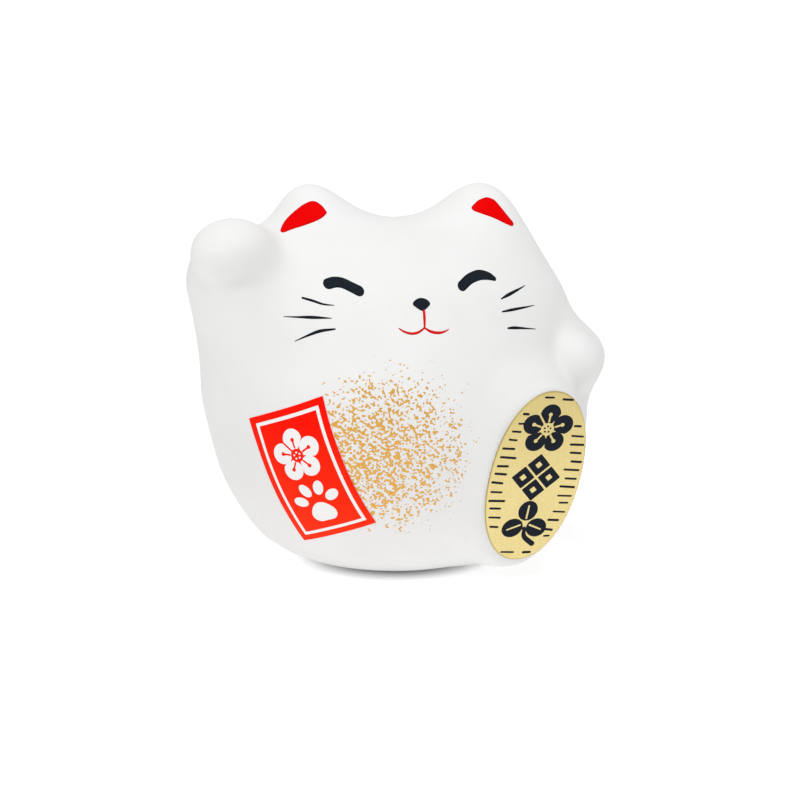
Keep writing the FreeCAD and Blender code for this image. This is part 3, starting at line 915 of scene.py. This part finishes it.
def face_paint():
    """Ears, eyes, nose, mouth and whiskers."""
    red = brushed_paint(
        "ear_red_paint", (0.7, 0.0, 0.0), (0.77, 0.0, 0.001), (0.5, 0.64), 0.02)
    lip = brushed_paint(
        "mouth_red_paint", (0.66, 0.006, 0.006), (0.8, 0.012, 0.01), (0.5, 0.64), 0.04)
    ink = brushed_paint(
        "blue_black_paint", (0.005, 0.008, 0.012), (0.013, 0.018, 0.026), (0.6, 0.75), 0.05)
    painted("right_ear_paint", "right_ear_red", filled_in(RIGHT_EAR_RED), red)
    painted("left_ear_paint", "left_ear_red", filled_in(LEFT_EAR_RED), red)
    painted("mouth_stroke", "mouth_line", brushed(*MOUTH), lip)
    painted("right_eye_stroke", "right_eye_line", brushed(RIGHT_EYE), ink)
    painted("left_eye_stroke", "left_eye_line", brushed(LEFT_EYE), ink)
    painted("nose_paint", "nose_dab", filled_in(NOSE), ink)
    painted("right_whisker_strokes", "right_whiskers", brushed(*RIGHT_WHISKERS), ink)
    painted("left_whisker_strokes", "left_whiskers", brushed(*LEFT_WHISKERS), ink)


# ==================================== gold stippling

GOLD_STEP = 0.068
GOLD_HEIGHTS = (-0.03, 0.0, 0.035)
GOLD_EDGE = 0.09
GOLD_SHIFT = (-1.9, -0.6)          # the stippling's middle, from the middle of its CAD box
GOLD_HALF = (12.0, 12.3)
GOLD_MARGIN = 1.5                  # stray flecks reach this far past it
GOLD_DENSEST = (-3.0, -0.8)        # from the stippling's middle
# A fleck is where the waves add up to more than a threshold, which grows outward.
GOLD_WAVES = 90
GOLD_LENGTHS = (0.36, 0.74)
GOLD_SLOPE = 0.095                 # millimetres for one unit of the field
CLUMP_WAVES = 40
CLUMP_LENGTHS = (0.8, 1.8)
CLUMP_SHARE = 0.75
PATCH_WAVES = 14
PATCH_LENGTHS = (2.6, 6.0)
PATCH_SHARE = 0.3
THRESHOLD = -0.08                  # at the densest place
THINNING = 1.25                    # how fast the flecks get rarer outward
THINNING_POWER = 1.5
RIM_FROM = 0.8                     # from this share of the half size, they end quickly
RIM_THINNING = 5.0


def stippling(label_gap):
    """Flecks of sponged gold, crowded in the middle and finer and rarer outward."""
    rng = np.random.default_rng(SEED + 1)
    fleck_waves = waves(rng, GOLD_WAVES, GOLD_LENGTHS, 2)
    clump_waves = waves(rng, CLUMP_WAVES, CLUMP_LENGTHS, 2)
    patch_waves = waves(rng, PATCH_WAVES, PATCH_LENGTHS, 2)
    centre = middle("belly_stippling")[[0, 2]] + GOLD_SHIFT
    densest = centre + GOLD_DENSEST

    def gap(x, y):
        spot = np.stack((x, y), axis=1)
        flecks = wave_field(spot, *fleck_waves)
        clumps = wave_field(spot, *clump_waves)
        patches = wave_field(spot, *patch_waves)
        reach = np.hypot((x - centre[0]) / GOLD_HALF[0], (y - centre[1]) / GOLD_HALF[1])
        crowd = np.hypot((x - densest[0]) / GOLD_HALF[0], (y - densest[1]) / GOLD_HALF[1])
        rim = RIM_THINNING * np.maximum(reach - RIM_FROM, 0.0)
        needed = THRESHOLD + THINNING * crowd ** THINNING_POWER + rim + PATCH_SHARE * patches
        short = needed - flecks - CLUMP_SHARE * clumps
        return np.maximum(short * GOLD_SLOPE, -label_gap(x, y))

    margin = GOLD_MARGIN
    extent = (centre[0] - GOLD_HALF[0] - margin, centre[1] - GOLD_HALF[1] - margin,
              centre[0] + GOLD_HALF[0] + margin, centre[1] + GOLD_HALF[1] + margin)
    return film("gold_stippling", gap, extent, GOLD_STEP, FRONT, GOLD_HEIGHTS, GOLD_EDGE,
                gold_paint(), ["belly_stippling"])


# ==================================== label

LABEL_OUT = (-0.553, -0.804, -0.217)
LABEL_UP = (-0.397, 0.025, 0.918)
LABEL_SHIFT = (-0.94, -0.71, -0.44)  # the film's own middle, from the middle of its CAD box
LABEL_HALF = (6.45, 10.2)
LABEL_CORNER = 0.12
LABEL_MARGIN = 1.0                 # from the film's edge to the bare line
LABEL_LINE = 0.5
LINE_CORNER = 0.05
INK_INSET = 0.02                   # the print stops this short of the film's edge
LABEL_CREST = 4.0
LABEL_BLOSSOM_RISE = 3.4
LABEL_PAW_RISE = -4.7
LABEL_STEP = 0.12
LABEL_HEIGHTS = (-0.05, 0.0, 0.1)
LABEL_INK_HEIGHTS = (0.08, 0.1, 0.118)
LABEL_EDGE = 0.1
LABEL = Face(middle("label_film") + LABEL_SHIFT, LABEL_OUT, LABEL_UP)


def label_outline(x, y):
    """Gap to the label's outline in its own face."""
    return box_gap(x, y, *LABEL_HALF, LABEL_CORNER)


def label_print(x, y):
    """Gap to the red print, which leaves a line and two crests bare."""
    half_width, half_height = LABEL_HALF
    outer = box_gap(x, y, half_width - LABEL_MARGIN, half_height - LABEL_MARGIN, LINE_CORNER)
    inset = LABEL_MARGIN + LABEL_LINE
    inner = box_gap(x, y, half_width - inset, half_height - inset, LINE_CORNER)
    gap = np.maximum(label_outline(x, y) + INK_INSET, -np.maximum(outer, -inner))
    for crest, rise in ((blossom_gap, LABEL_BLOSSOM_RISE), (paw_print_gap, LABEL_PAW_RISE)):
        gap = np.maximum(gap, -crest(x, y - rise, LABEL_CREST))
    return gap


def label_in_front(x, y):
    """Gap to the label's outline, for points of the front view on the skin."""
    q = LABEL.inward(on_skin(x, y, FRONT, 12))
    return label_outline(q[:, 0], q[:, 1])


def extent_about(half):
    """The extent of a grid about the middle of a face, a margin larger than a half size."""
    reach = half[0] + MARGIN, half[1] + MARGIN
    return -reach[0], -reach[1], *reach


def label():
    """The printed sticker on the belly."""
    extent = extent_about(LABEL_HALF)
    film("label_sticker", label_outline, extent, LABEL_STEP, LABEL, LABEL_HEIGHTS, LABEL_EDGE,
         label_vinyl(), ["label_film"])
    film("label_ink", label_print, extent, LABEL_STEP, LABEL, LABEL_INK_HEIGHTS, LABEL_EDGE,
         label_ink(), ["label_print"])


# ==================================== coin

COIN_STEP = 0.11
FOIL_STEP = 0.2
FOIL_HEIGHTS = (-0.1, 0.02, 0.15)
FOIL_EDGE = 0.15
COIN_INK_HEIGHTS = (0.12, 0.15, 0.185)
COIN_INK_EDGE = 0.08
DASH_PITCH = 1.36
DASH_END = 0.9                     # no row of dashes is nearer to the oval's ends
DASH_HALF_HEIGHT = 0.17
DASH_THICKNESS = (0.85, 1.15)      # as a share of the half height
DASH_LENGTHS = (1.3, 2.8)
DASH_SHORTEST = 0.7
DASH_FROM_RIM = (0.5, 1.0)
DASH_WANDER = 0.14                 # up or down from its row
DASH_TILT = 0.08                   # rise or fall of its outer end
DASH_TURN = -2.9                   # the rows of dashes lie level on the cat, not across the oval
CREST_ROWS = 11.0                  # above and below this the rows run free of the crests
CREST_COLUMN = 4.6                 # half width that the dashes leave to the crests
FREE_COLUMN = 0.35                 # and to each other, above and below them
CREST_SIZE = 3.95
CREST_PITCH = 7.45
CREST_WIDENING = 1.22              # the crests are this much wider than a round crest
CREST_DROP = 0.15                  # the middle one is this much below the coin's middle


def dashes():
    """(x, y, half width) ends of the short ink dashes round the coin, in rows across it."""
    rng = np.random.default_rng(SEED + 2)
    rows = int((COIN_HALF[1] - DASH_END) / DASH_PITCH)
    found = []
    for row in range(-rows, rows + 1):
        for side in (-1, 1):
            y = row * DASH_PITCH + rng.uniform(-DASH_WANDER, DASH_WANDER)
            rim = COIN_HALF[0] * math.sqrt(1 - (y / COIN_HALF[1]) ** 2)
            far = rim - rng.uniform(*DASH_FROM_RIM)
            column = CREST_COLUMN if abs(y) < CREST_ROWS else FREE_COLUMN
            near = max(far - rng.uniform(*DASH_LENGTHS), column)
            tip = y + rng.uniform(-DASH_TILT, DASH_TILT)
            thick = DASH_HALF_HEIGHT * rng.uniform(*DASH_THICKNESS)
            if far - near > DASH_SHORTEST:
                found.append(((side * near, y, thick), (side * far, tip, thick)))
    return found


def coin_print(x, y):
    """Gap to the ink: three crests down the middle, and dashes beside them."""
    wide = x / CREST_WIDENING
    gap = blossom_gap(wide, y - CREST_PITCH, CREST_SIZE)
    gap = np.minimum(gap, lozenges_gap(wide, y + CREST_DROP, CREST_SIZE))
    gap = np.minimum(gap, trefoil_gap(wide, y + CREST_PITCH, CREST_SIZE))
    across, up = rotated(x, y, -DASH_TURN)
    for dash in dashes():
        gap = np.minimum(gap, stroke_gap(across, up, dash, 1))
    return gap


def coin():
    """The oval foil coin and its print."""
    extent = extent_about(COIN_HALF)
    film("coin_leaf", lambda x, y: coin_gap(x, y, COIN_HALF), extent, FOIL_STEP, COIN, FOIL_HEIGHTS,
         FOIL_EDGE, coin_foil(), ["coin_foil"], flat=True)
    film("coin_ink", coin_print, extent, COIN_STEP, COIN, COIN_INK_HEIGHTS, COIN_INK_EDGE,
         coin_ink(), ["coin_print"], flat=True)


# ==================================== studio

FLOOR_HALF = 9.0                   # in metres
CAMERA_DISTANCE = 344.0
CAMERA_AZIMUTH = -12.0
CAMERA_ELEVATION = 12.0
CAMERA_LENS = 100.0
CAMERA_SENSOR = 36.0
AIM = (0.6, 0.0, 24.6)             # the camera and the lamps face this place
SURROUND = 0.64                    # strength of the even white world
# name, azimuth, elevation, distance, size and power of each lamp
LAMPS = (
    ("overhead_softbox", -6.0, 72.0, 420.0, 340.0, 0.9),
    ("side_softbox", -58.0, 34.0, 460.0, 300.0, 0.22),
)
# painted light: the floor glows though it is no lamp, with (distance from the foot of the cat's
# axis, strength) stops; the glow is nothing at the foot and strong just beyond it, which paints a
# tight contact shadow
PAINTED_FLOOR_GLOW = (
    (9.5, 0.0), (12.0, 0.15), (15.0, 0.43), (22.0, 0.37), (32.0, 0.25), (60.0, 0.18), (200.0, 0.29),
    (400.0, 0.45), (800.0, 0.52),
)


def aimed(item, place, target):
    """Puts a camera or a lamp at a place and points it at a target."""
    item.location = place
    item.rotation_euler = (target - place).to_track_quat("-Z", "Y").to_euler()
    bpy.context.scene.collection.objects.link(item)


def orbit(azimuth, elevation, distance):
    """A place round the aim, in metres: azimuth 0 is in front, and grows to the cat's left."""
    a = math.radians(azimuth)
    e = math.radians(elevation)
    offset = np.array((math.sin(a) * math.cos(e), -math.cos(a) * math.cos(e), math.sin(e)))
    return Vector(((np.array(AIM) + AXIS + offset * distance) * MM).tolist())


def camera():
    """The camera, a little to the cat's right and above it."""
    lens = bpy.data.cameras.new("camera")
    lens.lens = CAMERA_LENS
    lens.sensor_width = CAMERA_SENSOR
    item = bpy.data.objects.new("camera", lens)
    aimed(item, orbit(CAMERA_AZIMUTH, CAMERA_ELEVATION, CAMERA_DISTANCE), orbit(0, 0, 0))
    bpy.context.scene.camera = item


def glow_about(tree, centre, stops):
    """Strength by distance from a place, eased between (millimetres, strength) stops."""
    place = tree.nodes.new("ShaderNodeTexCoord")
    away = tree.nodes.new("ShaderNodeVectorMath")
    away.operation = "DISTANCE"
    away.inputs[1].default_value = (centre * MM).tolist()
    tree.links.new(place.outputs["Object"], away.inputs[0])
    node = tree.nodes.new("ShaderNodeValToRGB")
    node.color_ramp.interpolation = "EASE"
    farthest = stops[-1][0]
    elements = node.color_ramp.elements
    elements[0].position = stops[0][0] / farthest
    elements[1].position = 1.0
    for reach, strength in stops[1:-1]:
        elements.new(reach / farthest)
    for element, (reach, strength) in zip(elements, stops):
        element.color = (strength, strength, strength, 1.0)
    share = spread(tree, away.outputs["Value"], 0.0, farthest * MM, 0.0, 1.0)
    tree.links.new(share, node.inputs["Fac"])
    return node.outputs["Color"]


def floor():
    """A plain white sweep that glows from within with painted light, though it is no lamp, and
    glows least at the cat's foot.
    """
    mesh = bpy.data.meshes.new("floor")
    half = FLOOR_HALF
    corners = [(-half, -half, 0), (half, -half, 0), (half, half, 0), (-half, half, 0)]
    mesh.from_pydata(corners, [], [(0, 1, 2, 3)])
    material, tree, shader = tree_of("studio_white")
    tone = ramp(tree, grain(tree, 60.0, 1.0), 0.3, 0.7, (0.885, 0.885, 0.885), (0.9, 0.9, 0.9))
    tree.links.new(tone, shader.inputs["Base Color"])
    set_up(shader, Roughness=0.9, Specular_IOR_Level=0.0, Emission_Color=(1, 1, 1, 1))
    # painted light: the glow grows with distance from the cat's foot, a painted contact shadow
    # where it is nothing
    tree.links.new(glow_about(tree, AXIS, PAINTED_FLOOR_GLOW), shader.inputs["Emission Strength"])
    mesh.materials.append(material)
    item = bpy.data.objects.new("floor", mesh)
    bpy.context.scene.collection.objects.link(item)


def soft_light(name, azimuth, elevation, distance, size, power):
    """A large square lamp that faces the cat."""
    lamp = bpy.data.lights.new(name, "AREA")
    lamp.shape = "SQUARE"
    lamp.size = size * MM
    lamp.energy = power
    aimed(bpy.data.objects.new(name, lamp), orbit(azimuth, elevation, distance), orbit(0, 0, 0))


def studio():
    """Floor, even white surround and soft lamps."""
    floor()
    scene = bpy.context.scene
    world = bpy.data.worlds.new("surround")
    world.use_nodes = True
    set_up(world.node_tree.nodes["Background"], Color=(1, 1, 1, 1), Strength=SURROUND)
    scene.world = world
    scene.view_settings.view_transform = "Standard"
    scene.view_settings.look = "None"
    for lamp in LAMPS:
        soft_light(*lamp)


camera()
studio()
casting()
face_paint()
label()
stippling(label_in_front)
coin()
